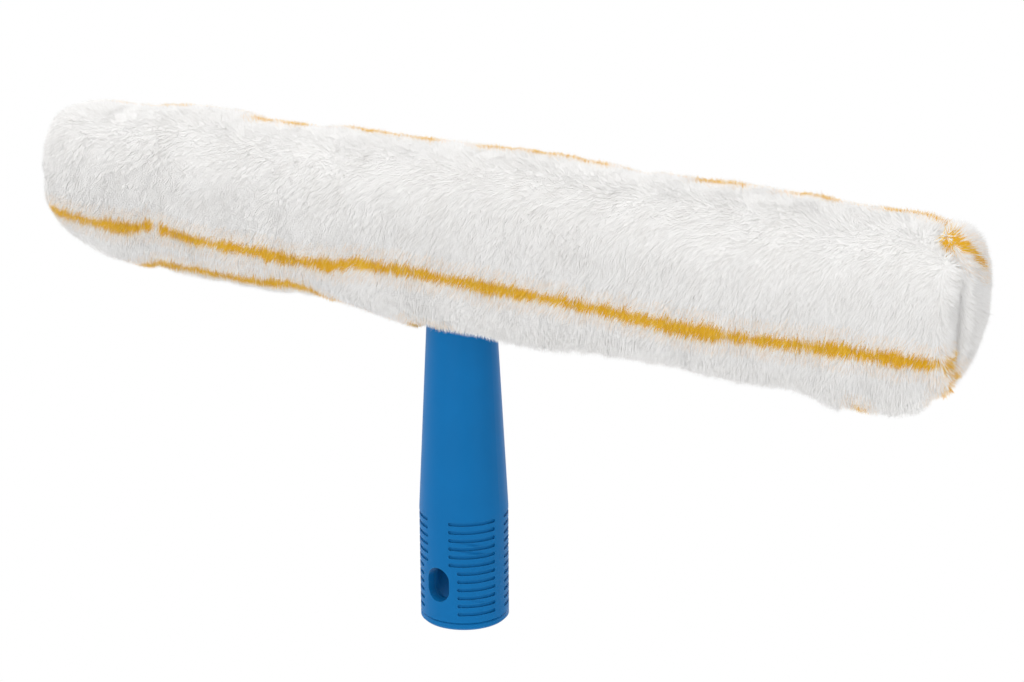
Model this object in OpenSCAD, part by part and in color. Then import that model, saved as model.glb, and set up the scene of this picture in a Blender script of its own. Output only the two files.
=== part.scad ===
// Window scrubber: a T-bar handle that wears a washable plush sleeve.
// Origin at the centre of the pole socket's mouth, +Z up the handle, +X along the crossbar,
// -Y towards the side with the low stripe. Millimetres.

/* [Handle] */
// Outer diameter of the grip's straight lower part
grip_d = 31; // [29:0.5:36]
// Outer diameter of the grip's top
grip_top_d = 24; // [22.5:0.1:27]
// Length of the whole handle, from the socket's mouth to the grip's top
handle_len = 108; // [100:1:130]
// Length of the straight part below the taper
straight_len = 41; // [40.5:0.5:50]
// Rounding of the handle's outer edges
edge_round = 0.8; // [0.3:0.1:1]
// Diameter of the pole socket's bore
pole_d = 21.2; // [18:0.1:22]
// Depth of the pole socket's bore
pole_depth = 54; // [45:1:56]
// Wall of the pole socket
socket_wall = 1.4; // [1:0.1:2]
// Thickness of the socket's stop ring at the end of the bore
stop_t = 2; // [1:0.5:3]
// Width of the socket's stop ring, inwards from the bore
stop_in = 4; // [2:0.5:4.5]
// Height of the socket's flange, which closes the grip's lower end
flange_h = 2.4; // [1.5:0.1:4]
// Thickness of the bulkhead that the hub screw pulls against
bulkhead_t = 4; // [3:0.5:6]

/* [Hanging slot] */
// Width of the slot through both walls
slot_w = 9; // [6:0.5:9]
// Height of the slot
slot_h = 12.5; // [11:0.5:16]
// Height of the slot's centre above the mouth
slot_z = 16; // [14:0.5:18]

/* [Grip grooves] */
// Number of grooves one above the other in each panel
groove_count = 12; // [8:1:12]
// Grooves that stop short beside the hanging slot
short_count = 6; // [4:1:6]
// Distance from groove to groove
groove_pitch = 3; // [2.4:0.1:3]
// Height of the lowest groove's centre
groove_z = 6.1; // [5:0.1:7]
// Height of one groove
groove_h = 1.3; // [0.8:0.1:1.6]
// Depth of one groove
groove_depth = 0.7; // [0.4:0.1:0.9]
// Angle from the front at which a panel begins
panel_from = 19; // [15:0.5:20]
// Angle from the front at which a panel ends
panel_to = 78; // [70:0.5:80]
// Angle at which the short grooves begin
short_from = 30; // [26:0.5:32]

/* [Crossbar] */
// Length of the crossbar
bar_len = 350; // [250:5:450]
// Height of the crossbar
bar_h = 36; // [32:1:42]
// Depth of the crossbar, front to back
bar_d = 16; // [14:0.5:20]
// Radius of the crossbar's end corners
bar_corner = 10; // [6:0.5:14]
// Thickness of the rail that runs round the crossbar
rail_t = 3; // [2:0.5:5]
// Thickness of the upright web in the middle
web_t = 2.4; // [1.6:0.2:4]
// Thickness of a cross rib
rib_t = 2; // [1.4:0.2:3]
// Distance from rib to rib
rib_pitch = 22; // [16:1:30]
// Diameter of a water hole in the web
water_d = 11; // [6:0.5:13]
// Diameter of a drain hole in a rail
drain_d = 5; // [3:0.5:8]
// Width of the solid hub in the middle
hub_w = 34; // [28:1:44]
// Width of the flat neck that passes the sleeve's slit
neck_w = 21; // [16:0.5:22]
// Thickness of the flat neck, front to back
neck_t = 10; // [8:0.5:11]
// Diameter of the spigot inside the grip
spigot_d = 18; // [16:0.5:18.5]

/* [Hub screw] */
// Diameter of the screw's shank
screw_d = 3.4; // [3:0.1:5]
// Length of the shank above the washer
screw_len = 30; // [20:1:36]
// Diameter of the screw's head
head_d = 7; // [6:0.5:9]
// Height of the screw's head
head_h = 2.4; // [2:0.1:3]
// Across the corners of the hexagon socket
hex_d = 3.4; // [2.4:0.1:4]
// Diameter of the washer
washer_d = 11; // [9:0.5:14]
// Thickness of the washer
washer_t = 1; // [0.6:0.1:1.2]

/* [Sleeve] */
// Height of the pile above its backing
pile = 11.2; // [8:0.2:14]
// Thickness of the knitted backing
backing = 1.5; // [1:0.1:2.5]
// How deep the grip's top presses into the pile
press = 2; // [0:0.1:4]
// How far the pile sags below that line, round the neck
sag = 1.4; // [0.5:0.1:1.4]
// How much the sleeve draws in below, away from the neck
draw_in = 0.8; // [0:0.1:2]
// How much its top falls towards either end
top_fall = 2.2; // [0:0.1:4]
// Height of the slow waves along the pile
wave = 0.5; // [0.1:0.1:1]
// Squareness of the sleeve's section: 2 is an ellipse
squareness = 2.7; // [2.2:0.1:3.5]
// Squareness of the section's back half at the open end
end_squareness = 2; // [2:0.1:2.7]
// Length over which the section changes towards the open end
end_change = 24; // [10:1:40]
// How much the open end draws in at the front and the back
end_narrow = 1.3; // [0:0.1:2]
// How far the open end's underside is drawn up behind the front lip
tuck = 6; // [0:0.5:6]
// How far the closed end's underside is drawn up
end_tuck = 10; // [0:0.5:12]
// Length over which the closed end rounds off
end_round = 20; // [10:1:26]
// Width of the slit for the neck
slit_w = 13; // [12.8:0.1:15]
// Width of the binding tape on the slit's edge
tape_w = 4.6; // [3:0.1:7]
// Thickness of the binding tape
tape_t = 0.8; // [0.4:0.1:0.8]
// Depth of the pocket for the seam past the bar's closed end
seam_room = 3; // [2.5:0.1:5]
// Height of the pile over the closed end
end_pile = 10; // [5:0.2:12]

/* [Closure] */
// How far the front lip reaches past the bar's open end
lip_reach = 11; // [8:0.5:14]
// Gap from the bar's open end to the flap
flap_gap = 2; // [1:0.1:4]
// Thickness of the flap at its crown
flap_t = 11.5; // [6:0.5:14]
// Height of the hook and loop strips
strip_h = 30; // [20:1:32]
// Thickness of the hook strip, and of the loop strip
strip_t = 0.8; // [0.7:0.1:1.2]
// Width of a strip's thin border, which is sewn down
border = 1.2; // [1:0.1:1.6]
// How far the front lip's edge rounds off
lip_round = 5; // [2:0.5:8]
// How far the pile bulges below, on the way to the open end
lip_puff = 2.5; // [0:0.1:4]
// How far the lip's lower corner is drawn up
lip_tuck = 11; // [0:0.5:12]
// How far the lip's upper corner is drawn down
lip_fall = 4; // [0:0.5:8]
// How much higher than the sleeve's middle the flap's crown lies
flap_lift = 8; // [0:0.5:10]
// How far the flap's lower edge is drawn up at the mouth
flap_tuck = 7; // [0:0.5:9]
// How far its upper edge is drawn down there
flap_fall = 1.5; // [0:0.5:6]

/* [Stitches] */
// Distance from stitch to stitch
stitch_pitch = 6; // [5:0.5:12]
// Length of one stitch
stitch_len = 3.6; // [2:0.1:4]
// Thickness of the thread
thread = 0.3; // [0.2:0.05:0.3]

/* [Clearances] */
// Between the sleeve and the crossbar, and between the flap's parts and theirs
soft_clear = 0.3; // [0.2:0.05:0.5]
// Between parts that are pushed into one another and stay
push_clear = 0.1; // [0.05:0.01:0.15]
// Between the neck's flat top end and the grip
seat_clear = 0.05; // [0.02:0.01:0.1]

/* [Hidden] */
$fn = 64;
over = 1;            // how far a cut runs past the face that it opens
groove_trace = 0.05; // how much wider all round a groove's ends are than the groove

blue = "#1a73b8";
steel = "#b9bcc0";
plush_white = "#e9e7e3";
tape_white = "#dcdad4";
thread_white = "#f4f2ec";
strip_white = "#d4d2cc";

// Handle
grip_r = grip_d / 2;
grip_top_r = grip_top_d / 2;
pole_r = pole_d / 2;
socket_r = pole_r + socket_wall;
socket_len = pole_depth + stop_t;
spigot_r = spigot_d / 2;
head_room = head_h + washer_t + 2 * push_clear;
bulkhead_z = socket_len + head_room;
spigot_z = bulkhead_z + bulkhead_t + push_clear;

// Crossbar and sleeve
bar_z = handle_len - press + pile + backing + soft_clear + bar_h / 2;
cavity_d = bar_d + 2 * soft_clear;
cavity_h = bar_h + 2 * soft_clear;
wall = backing + pile;
sleeve_d = cavity_d + 2 * wall;
sleeve_h = cavity_h + 2 * wall;
closed_x = -bar_len / 2 - soft_clear - seam_room;   // the cavity's closed end
closed_end = closed_x - backing - end_pile;
mouth_x = bar_len / 2 + flap_gap;                   // where the sleeve's back, top and bottom end
lip_x = bar_len / 2 + lip_reach;                    // where its front lip ends
slit_x = -neck_w / 2 - soft_clear - tape_t - thread;
slit_top = bar_z - cavity_h / 2;
lip_y = -bar_d / 2 - 2 * soft_clear - 2 * strip_t;  // the lip's inner face, which carries the loop strip
tape_z = slit_top - tape_w;
inner_slit = slit_w / 2 - tape_t;

// Flap
flap_x = mouth_x + soft_clear;
flap_front = -bar_d / 2 - soft_clear;               // its flat face, which carries the hook strip
strip_x = flap_x + soft_clear;
strip_len = lip_x - strip_x - lip_round / 2;

function ease(u) = u <= 0 ? 0 : u >= 1 ? 1 : u * u * (3 - 2 * u);
function power(v, p) = sign(v) * pow(abs(v), p);

// How near a place along the sleeve is to the neck and to the open end, from 0 to 1. The pile
// hangs lower on the neck's open side, along the slit.
slit_hang = 0.6;
function near_neck(x) = 1 - ease((abs(x) * (x > 0 ? slit_hang : 1) - neck_w / 2) / (2 * neck_w));
function near_mouth(x) = ease((x - mouth_x + end_change) / end_change);

// How far the pile reaches below or above the plain section at one place along the sleeve
function fall(x) = sag * near_neck(x) - draw_in * (1 - near_neck(x)) + draw_in * near_mouth(x)
                 - end_tuck * ease((closed_end + 2 * end_round - x) / (2 * end_round))
                 + lip_puff * ease((x - mouth_x + 2 * end_round) / (end_round / 2))
                 + wave * 0.4 * sin(x * 2.3);
function rise(x) = wave * sin(x * 3.1 + 40)
                 - top_fall * ease((abs(x) - bar_len / 2 + 3 * end_round) / (2 * end_round))
                 - lip_fall * ease((x - mouth_x) / lip_round);
function belly(x) = wave * sin(x * 2.6 + 100) - end_narrow * near_mouth(x);

// How far the underside is drawn up at the open end, behind the front lip and at the lip's corner
function gather(x, y) = tuck * near_mouth(x) * ease((y - lip_y) / lip_round)
                      + lip_tuck * ease((x - mouth_x) / lip_round);

// The closed end rounds off, and so does the front lip, a little
end_power = 2.6;
lip_keep = 0.92;     // the share of the section that is left at the lip's very edge
function close_in(x) = let (u = (x - closed_end) / end_round, v = (lip_x - x) / lip_round)
    min(u >= 1 ? 1 : pow(1 - pow(1 - max(u, 0), end_power), 1 / end_power),
        v >= 1 ? 1 : lip_keep + (1 - lip_keep) * sqrt(1 - pow(1 - max(v, 0), 2)));

ring_sides = 28;
function sleeve_ring(x, k) = [for (i = [0 : ring_sides - 1])
    let (a = 360 * i / ring_sides,
         p = squareness + (cos(a) > 0 ? (end_squareness - squareness) * near_mouth(x) : 0),
         c = power(cos(a), 2 / p),
         s = power(sin(a), 2 / p),
         y = k * c * (sleeve_d / 2 + belly(x) * ease(abs(c) * 2)))
    [x, y, bar_z + k * s * (sleeve_h / 2 + (s < 0 ? fall(x) - gather(x, y) : rise(x)))]];

// A closed shell through rings of equal counts, with a flat cap at each end
module loft(rings) {
    n = len(rings[0]);
    last = len(rings) - 1;
    points = [for (ring = rings, p = ring) p];
    sides = [for (r = [0 : last - 1], i = [0 : n - 1], half = [0, 1])
        let (a = r * n + i, b = r * n + (i + 1) % n)
        half == 0 ? [a, a + n, b] : [b, a + n, b + n]];
    caps = [for (i = [1 : n - 2], end = [0, 1])
        end == 0 ? [0, i, i + 1] : [last * n, last * n + i + 1, last * n + i]];
    polyhedron(points, concat(sides, caps), convexity = 6);
}

module stadium_hole(w, h, depth) {
    rotate([90, 0, 0]) linear_extrude(depth, center = true) union() {
        square([w, h - w], center = true);
        for (s = [-1, 1]) translate([0, s * (h - w) / 2]) circle(d = w);
    }
}

// One turned part: the outline is given as points of radius and height
module turned(outline) {
    rotate_extrude() polygon(outline);
}

// A groove round part of the grip. Its round ends are a trace wider and deeper, so that they
// meet it at clear corners and never edge to edge.
module groove(from, to) {
    depth_r = grip_r - groove_depth;
    rotate([0, 0, from]) rotate_extrude(angle = to - from)
        translate([depth_r, -groove_h / 2]) square([groove_depth + over, groove_h]);
    for (a = [from, to]) rotate([0, 0, a]) translate([depth_r - groove_trace, 0, 0]) rotate([0, 90, 0])
        cylinder(d = groove_h + 2 * groove_trace, h = groove_depth + groove_trace + over, $fn = 32);
}

module groove_panel() {
    for (i = [0 : groove_count - 1])
        translate([0, 0, groove_z + i * groove_pitch])
            groove(i < short_count ? short_from : panel_from, panel_to);
}

module hanging_slot() {
    translate([0, 0, slot_z]) stadium_hole(slot_w, slot_h, grip_d + 2 * over);
}

module handle_grip() {
    c = edge_round / 2;
    r = edge_round;
    color(blue) difference() {
        turned([[socket_r + push_clear, flange_h + push_clear], [grip_r - c, flange_h + push_clear],
                [grip_r, flange_h + push_clear + c], [grip_r, straight_len],
                [grip_top_r, handle_len - r], [grip_top_r - r, handle_len],
                [spigot_r + push_clear, handle_len],
                [spigot_r + push_clear, bulkhead_z + bulkhead_t],
                [screw_d / 2 + push_clear, bulkhead_z + bulkhead_t],
                [screw_d / 2 + push_clear, bulkhead_z], [socket_r + push_clear, bulkhead_z]]);
        hanging_slot();
        for (back = [0, 180], flip = [0, 1]) rotate([0, 0, back - 90])
            mirror([0, flip, 0]) groove_panel();
    }
}

module pole_socket() {
    c = edge_round / 2;
    color(blue) difference() {
        turned([[pole_r, 0], [grip_r - edge_round, 0], [grip_r, edge_round], [grip_r, flange_h - c],
                [grip_r - c, flange_h], [socket_r, flange_h], [socket_r, socket_len],
                [pole_r - stop_in, socket_len], [pole_r - stop_in, pole_depth], [pole_r, pole_depth]]);
        hanging_slot();
    }
}

// The crossbar's outline seen from the front, drawn in by one size all round
module bar_outline(inset) {
    r = bar_corner - inset;
    square([bar_len - 2 * inset, bar_h - 2 * inset - 2 * r], center = true);
    square([bar_len - 2 * inset - 2 * r, bar_h - 2 * inset], center = true);
    for (x = [-1, 1], z = [-1, 1])
        translate([x * (bar_len / 2 - inset - r), z * (bar_h / 2 - inset - r)]) circle(r = r);
}

module bar_plate(depth) {
    translate([0, 0, bar_z]) rotate([90, 0, 0]) linear_extrude(depth, center = true) children();
}

module crossbar() {
    bays = floor((bar_len / 2 - hub_w / 2 - bar_corner) / rib_pitch);
    inner_h = bar_h - 2 * rail_t;
    neck_top = bar_z - bar_h / 2 + rail_t;
    color(blue) difference() {
        union() {
            bar_plate(web_t) bar_outline(rail_t / 2);
            bar_plate(bar_d) difference() {
                bar_outline(0);
                bar_outline(rail_t);
            }
            translate([-hub_w / 2, -bar_d / 2, bar_z - inner_h / 2 - rail_t / 2])
                cube([hub_w, bar_d, inner_h + rail_t]);
            for (side = [-1, 1], i = [1 : bays])
                translate([side * (hub_w / 2 + i * rib_pitch) - rib_t / 2, -bar_d / 2 + rib_t / 2,
                           bar_z - inner_h / 2 - rail_t / 2])
                    cube([rib_t, bar_d - rib_t, inner_h + rail_t]);
            translate([-neck_w / 2, -neck_t / 2, handle_len + seat_clear])
                cube([neck_w, neck_t, neck_top - handle_len - seat_clear]);
            translate([0, 0, spigot_z])
                cylinder(r = spigot_r, h = handle_len + seat_clear - spigot_z);
        }
        for (side = [-1, 1], i = [0 : bays - 1])
            translate([side * (hub_w / 2 + (i + 0.5) * rib_pitch), 0, bar_z]) {
                rotate([90, 0, 0]) cylinder(d = water_d, h = bar_d, center = true);
                for (front = [-1, 1]) translate([0, front * (bar_d / 2 + web_t / 2) / 2, 0])
                    cylinder(d = drain_d, h = bar_h + 2 * over, center = true);
            }
        translate([0, 0, spigot_z - over])
            cylinder(d = screw_d + push_clear, h = screw_len + over);
        for (side = [-1, 1]) translate([side * hub_w / 4, 0, bar_z]) rotate([90, 0, 0])
            cylinder(d = water_d / 2, h = bar_d + 2 * over, center = true);
    }
}

module hub_screw() {
    top = bulkhead_z - washer_t - push_clear;
    color(steel) difference() {
        union() {
            translate([0, 0, top - head_h]) cylinder(d = head_d, h = head_h);
            translate([0, 0, top]) cylinder(d = screw_d, h = washer_t + screw_len);
        }
        translate([0, 0, top - head_h - over]) cylinder(d = hex_d, h = head_h / 2 + over, $fn = 6);
    }
}

module hub_washer() {
    color(steel) translate([0, 0, bulkhead_z - washer_t - push_clear / 2]) difference() {
        cylinder(d = washer_d, h = washer_t);
        translate([0, 0, -over]) cylinder(d = screw_d + 2 * push_clear, h = washer_t + 2 * over);
    }
}

module sleeve_plush() {
    steps_round = 6;
    steps_long = 30;
    straight_from = closed_end + end_round;
    straight_to = lip_x - lip_round;
    stations = concat(
        [for (i = [0 : steps_round]) closed_end + end_round * (1 - cos(90 * i / steps_round)) + thread / 2],
        [for (i = [1 : steps_long]) straight_from + (straight_to - straight_from) * i / steps_long],
        [for (i = [1 : 3]) straight_to + lip_round * sin(30 * i)]);
    color(plush_white) difference() {
        loft([for (x = stations) sleeve_ring(x, close_in(x))]);
        translate([closed_x, -cavity_d / 2, bar_z - cavity_h / 2])
            cube([lip_x + over - closed_x, cavity_d, cavity_h]);
        translate([slit_x, -slit_w / 2, handle_len - over])
            cube([lip_x + over - slit_x, slit_w, slit_top - handle_len + 2 * over]);
        translate([mouth_x, lip_y, bar_z - sleeve_h])
            cube([lip_x + over - mouth_x, sleeve_d, 2 * sleeve_h]);
        // the flat that the grip's top presses into the pile, as far as the slit runs
        translate([-grip_top_r - 2 * soft_clear, -grip_top_r - 2 * soft_clear, handle_len - 2 * pile])
            cube([lip_x + over + grip_top_r, grip_top_d + 4 * soft_clear, 2 * pile + soft_clear]);
        // the groove that the bottom seam's stitches lie in
        translate([closed_x + thread, -thread, slit_top - thread])
            cube([slit_x - closed_x - 2 * thread, 2 * thread, 2 * thread]);
    }
}

// The folded edge of cloth inside the closed end
module end_seam() {
    color(tape_white) translate([closed_x + push_clear, -backing / 2, bar_z - strip_h / 2])
        cube([seam_room - push_clear, backing, strip_h]);
}

// One tape, round the slit's closed end and along both its edges
module slit_binding() {
    color(tape_white) translate([0, 0, tape_z]) linear_extrude(tape_w - soft_clear) difference() {
        translate([slit_x, -slit_w / 2]) square([mouth_x - slit_x - tape_t, slit_w]);
        translate([slit_x + tape_t, -inner_slit]) square([mouth_x - slit_x, 2 * inner_slit]);
    }
}

// A row of stitches that runs along X or along Z
module stitch_row(count, size, step) {
    for (i = [0 : count - 1]) translate(step * i) cube(size);
}

// Stitches along the tape, across the slit's closed end, along the bottom seam and on the loop strip
module sleeve_stitching() {
    first = slit_x + tape_t + stitch_pitch / 2;
    count = floor((mouth_x - stitch_pitch - first) / stitch_pitch);
    seam_from = closed_x + stitch_pitch;
    row_z = tape_z + tape_w / 2;
    color(thread_white) {
        for (y = [-inner_slit, inner_slit - thread]) translate([first, y, row_z])
            stitch_row(count, [stitch_len, thread, thread * 2], [stitch_pitch, 0, 0]);
        for (i = [-1, 0, 1])
            translate([slit_x + tape_t, i * inner_slit / 2 - thread, row_z - thread * 2])
                cube([thread, thread * 2, thread * 6]);
        translate([seam_from, -thread, slit_top - thread])
            stitch_row(floor((slit_x - seam_from) / stitch_pitch), [stitch_len, 2 * thread, thread],
                       [stitch_pitch, 0, 0]);
        strip_stitches(lip_y, 1);
    }
}

// One half of the closure, sewn to a wall at y: facing is 1 where its field looks to +Y
module strip(y, facing) {
    translate([strip_x, y, bar_z - strip_h / 2]) mirror([0, facing > 0 ? 0 : 1, 0]) {
        cube([strip_len, strip_t / 2, strip_h]);
        translate([border, 0, border]) cube([strip_len - 2 * border, strip_t, strip_h - 2 * border]);
    }
}

module strip_stitches(y, facing) {
    count = floor((strip_h - stitch_len) / stitch_pitch) + 1;
    low = bar_z - ((count - 1) * stitch_pitch + stitch_len) / 2;
    for (x = [border / 2, strip_len - border / 2])
        translate([strip_x + x - thread, y + facing * (strip_t / 2 + thread / 2) - thread / 2, low])
            stitch_row(count, [2 * thread, thread, stitch_len], [0, 0, stitch_pitch]);
}

module loop_strip() {
    color(strip_white) strip(lip_y, 1);
}

module hook_strip() {
    color(strip_white) strip(flap_front, -1);
}

// A domed plush pad that closes the open end, hinged by its cloth at the back
module end_flap() {
    steps = 9;
    dome_power = 1.25;
    last_turn = 86;  // a full 90 would draw the dome's tip to a point
    color(plush_white) difference() {
        loft([for (i = [0 : steps]) let (t = sin(last_turn * i / steps), k = sqrt(1 - pow(t, dome_power)),
                                         near = pow(1 - t, 2))
            [for (p = sleeve_ring(mouth_x, k)) let (high = (p[2] - bar_z) / (sleeve_h / 2))
                [flap_x + flap_t * t, p[1],
                 p[2] + flap_lift * t + near * (flap_tuck * ease(-high) - flap_fall * ease(high))]]]);
        translate([flap_x - over, flap_front - sleeve_d, bar_z - sleeve_h])
            cube([flap_t + 2 * over, sleeve_d, 2 * sleeve_h]);
    }
}

// Stitches that hold the hook strip
module flap_stitching() {
    color(thread_white) strip_stitches(flap_front, -1);
}

handle_grip();
pole_socket();
crossbar();
hub_screw();
hub_washer();
sleeve_plush();
end_seam();
slit_binding();
sleeve_stitching();
loop_strip();
end_flap();
hook_strip();
flap_stitching();
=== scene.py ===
"""Window scrubber: a moulded T-bar in a striped plush sleeve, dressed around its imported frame.

The handle and the small parts keep their own solids and get their finishes here. The plush
sleeve and its end flap are modelled as cloth bodies, with a pile of single strands on them.
Lengths are in metres, and MM turns millimetres into them.
"""

import math

import bmesh
import bpy
import numpy as np
from bpy.props import FloatProperty, FloatVectorProperty, IntProperty, PointerProperty
from mathutils import Matrix, Vector


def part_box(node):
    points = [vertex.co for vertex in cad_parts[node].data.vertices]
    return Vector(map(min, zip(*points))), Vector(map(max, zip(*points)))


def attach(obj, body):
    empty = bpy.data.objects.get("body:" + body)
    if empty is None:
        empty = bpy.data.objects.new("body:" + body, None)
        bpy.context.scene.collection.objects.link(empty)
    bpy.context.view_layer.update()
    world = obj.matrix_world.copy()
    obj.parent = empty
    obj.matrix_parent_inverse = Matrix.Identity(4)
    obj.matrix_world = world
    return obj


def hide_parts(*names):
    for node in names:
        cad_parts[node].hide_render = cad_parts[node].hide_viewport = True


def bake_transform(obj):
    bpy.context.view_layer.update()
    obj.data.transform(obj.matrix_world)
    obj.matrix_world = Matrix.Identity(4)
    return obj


bl_info = {
    "name": "Window Scrubber",
    "version": (1, 0, 0),
    "blender": (4, 5, 0),
    "location": "View3D > Sidebar > Scrubber",
    "description": "Builds the plush sleeve, its flap and the finishes of a window scrubber",
    "category": "Object",
}

MM = 0.001
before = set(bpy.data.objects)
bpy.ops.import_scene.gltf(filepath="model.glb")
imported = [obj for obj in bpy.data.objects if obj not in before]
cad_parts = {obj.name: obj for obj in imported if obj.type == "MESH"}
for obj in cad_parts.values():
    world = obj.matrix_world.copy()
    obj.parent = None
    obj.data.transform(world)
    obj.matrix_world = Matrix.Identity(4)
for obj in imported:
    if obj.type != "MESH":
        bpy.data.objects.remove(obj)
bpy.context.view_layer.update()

SLEEVE_LOW, SLEEVE_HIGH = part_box("sleeve_plush")
BAR_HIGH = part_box("crossbar")[1]
FLAP_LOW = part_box("end_flap")[0]
BINDING_LOW, BINDING_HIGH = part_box("slit_binding")
SEAM_LOW, SEAM_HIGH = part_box("end_seam")
STRIP_LOW, STRIP_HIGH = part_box("loop_strip")
BAR_Z = (SEAM_LOW.z + SEAM_HIGH.z) / 2
GRIP_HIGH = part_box("handle_grip")[1]
# Half the width of the grip's upper end, where the pile is pressed flat
GRIP_TOP = 12.5 * MM
SOFT_GAP = 0.3 * MM
CAVITY_Y = BAR_HIGH.y + SOFT_GAP
CAVITY_Z = BAR_HIGH.z - BAR_Z + SOFT_GAP
SLIT_Y = BINDING_HIGH.y
SLIT_X = BINDING_LOW.x
MOUTH_X = FLAP_LOW.x - SOFT_GAP
LIP_Y = STRIP_LOW.y
# The plain section of the sleeve: half its depth, half its height, and how square it is
SECTION_Y = 21 * MM
SECTION_Z = 31 * MM
SQUARENESS = 2.7
# How thick the cloth is at the closed end, and the bands in which the pile thins out at an edge
END_CLOTH = 9 * MM
BARE_EDGE = 1.2 * MM
EDGE_BAND = 2 * MM
FLAP_BAND = 3 * MM


def shade(name, text, value):
    return FloatVectorProperty(
        name=name, description=text, default=value, subtype="COLOR", min=0, max=1)


def length(name, text, value_mm):
    return FloatProperty(name=name, description=text, default=value_mm * MM, min=0, unit="LENGTH")


def angle(name, text, degrees):
    return FloatProperty(
        name=name, description=text, default=math.radians(degrees), subtype="ANGLE")


class ScrubberPlush(bpy.types.PropertyGroup):
    """The sleeve's cloth and its pile"""

    root_depth: length("Root depth", "How deep below the pile's tips its roots sit", 1.6)
    strand_length: length("Strand length", "Length of one strand above its root", 3.6)
    strand_width: length("Strand width", "Width of one strand at its root", 0.25)
    strand_thickness: length("Strand thickness", "Thickness of one strand at its root", 0.06)
    voxel: length("Body detail", "Size of the sleeve body's faces", 2.0)
    flap_voxel: length("Flap detail", "Size of the flap body's faces", 1.2)
    stripe_width: length("Stripe width", "Width of a golden stripe", 4.2)
    stripe_lift: length("Stripe lift", "How far above its visible place a stripe is rooted", 0.4)
    density: FloatProperty(
        name="Density", description="Strands on one square millimetre", default=12.0, min=0.1)
    evenness: FloatProperty(
        name="Evenness", description="How closely a strand is shaded like the cloth below it",
        default=0.9, min=0, max=1)
    lean: angle("Lean", "How far the strands lean over", 66)
    seed: IntProperty(name="Seed", description="Start of the random draws", default=7)
    # Bright and Shaded are lit and shaded copies of the Plain white: painted light and painted
    # shade, laid over the pile in noise patches and streaks, not where the lamps shine
    bright: shade("Bright", "Strands that catch the light", (0.90, 0.892, 0.88))
    plain: shade("Plain", "Most of the strands", (0.86, 0.85, 0.835))
    shaded: shade("Shaded", "Strands of the deeper tufts", (0.79, 0.775, 0.755))
    peach: shade("Peach", "Strands beside a stripe", (0.87, 0.76, 0.65))
    gold: shade("Gold", "Strands of a stripe", (0.78, 0.43, 0.02))
    amber: shade("Amber", "Darker strands of a stripe", (0.74, 0.36, 0.015))
    straw: shade("Straw", "Paler strands of a stripe", (0.84, 0.55, 0.08))
    ground: shade("Ground", "Cloth below the pile", (0.84, 0.83, 0.81))
    lining: shade("Lining", "Knitted inside of the cloth", (0.74, 0.73, 0.70))


class ScrubberPlastic(bpy.types.PropertyGroup):
    """The moulded T-bar's finish"""

    blue: shade("Blue", "Colour of the moulded plastic", (0.002, 0.122, 0.335))
    worn: shade("Worn blue", "Colour where the edges are rubbed", (0.02, 0.175, 0.40))
    roughness: FloatProperty(
        name="Roughness", description="Roughness of the plastic", default=0.42, min=0, max=1)
    grain: length("Grain", "Size of the fine grain left by the mould", 0.3)
    rub: length("Rubbed edge", "Width of the band that is rubbed paler at an edge", 0.5)


class ScrubberTrim(bpy.types.PropertyGroup):
    """The tapes, the thread and the steel"""

    tape: shade("Tape", "Binding tape and the end seam", (0.72, 0.70, 0.67))
    closure: shade("Closure", "Hook and loop strips", (0.66, 0.65, 0.62))
    thread: shade("Thread", "Sewing thread", (0.88, 0.87, 0.84))
    steel: shade("Steel", "Hub screw and washer", (0.56, 0.57, 0.58))
    weave: length("Weave", "Distance from thread to thread in a tape", 0.6)
    loops: length("Loops", "Distance from loop to loop in the closure", 0.5)


class ScrubberStage(bpy.types.PropertyGroup):
    """The camera, the floor and the light"""

    eye: FloatVectorProperty(
        name="Eye", description="Where the camera stands", subtype="XYZ", unit="LENGTH",
        default=(0.4464, -0.5855, 0.3134))
    target: FloatVectorProperty(
        name="Target", description="What the camera looks at", subtype="XYZ", unit="LENGTH",
        default=(0.0138, 0.0100, 0.09996))
    lens: FloatProperty(
        name="Lens", description="Focal length for a 36 mm sensor, in millimetres", default=79.14)
    roll: angle("Roll", "Turn of the picture", -0.3)
    floor_drop: length("Floor drop", "How far the floor lies below the handle", 160)
    top_power: FloatProperty(name="Top", description="Watts of the top lamp", default=25.0)
    front_power: FloatProperty(name="Front", description="Watts of the front lamp", default=15.5)
    back_power: FloatProperty(name="Back", description="Watts of the back lamp", default=24.0)
    left_power: FloatProperty(name="Left", description="Watts of the left lamp", default=14.0)
    right_power: FloatProperty(name="Right", description="Watts of the right lamp", default=10.5)
    world_level: FloatProperty(
        name="World", description="Strength of the even light all round", default=0.5)


def deselect():
    """Leaves nothing selected, because an operator acts on all that is."""
    for piece in bpy.context.selected_objects:
        piece.select_set(False)


def make_active(piece):
    """Selects one piece alone."""
    deselect()
    piece.select_set(True)
    bpy.context.view_layer.objects.active = piece


def apply_modifier(piece, kind, **values):
    """Adds one modifier with these values and applies it."""
    make_active(piece)
    modifier = piece.modifiers.new(kind.title(), kind)
    for name, value in values.items():
        setattr(modifier, name, value)
    bpy.ops.object.modifier_apply(modifier=modifier.name)


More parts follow.
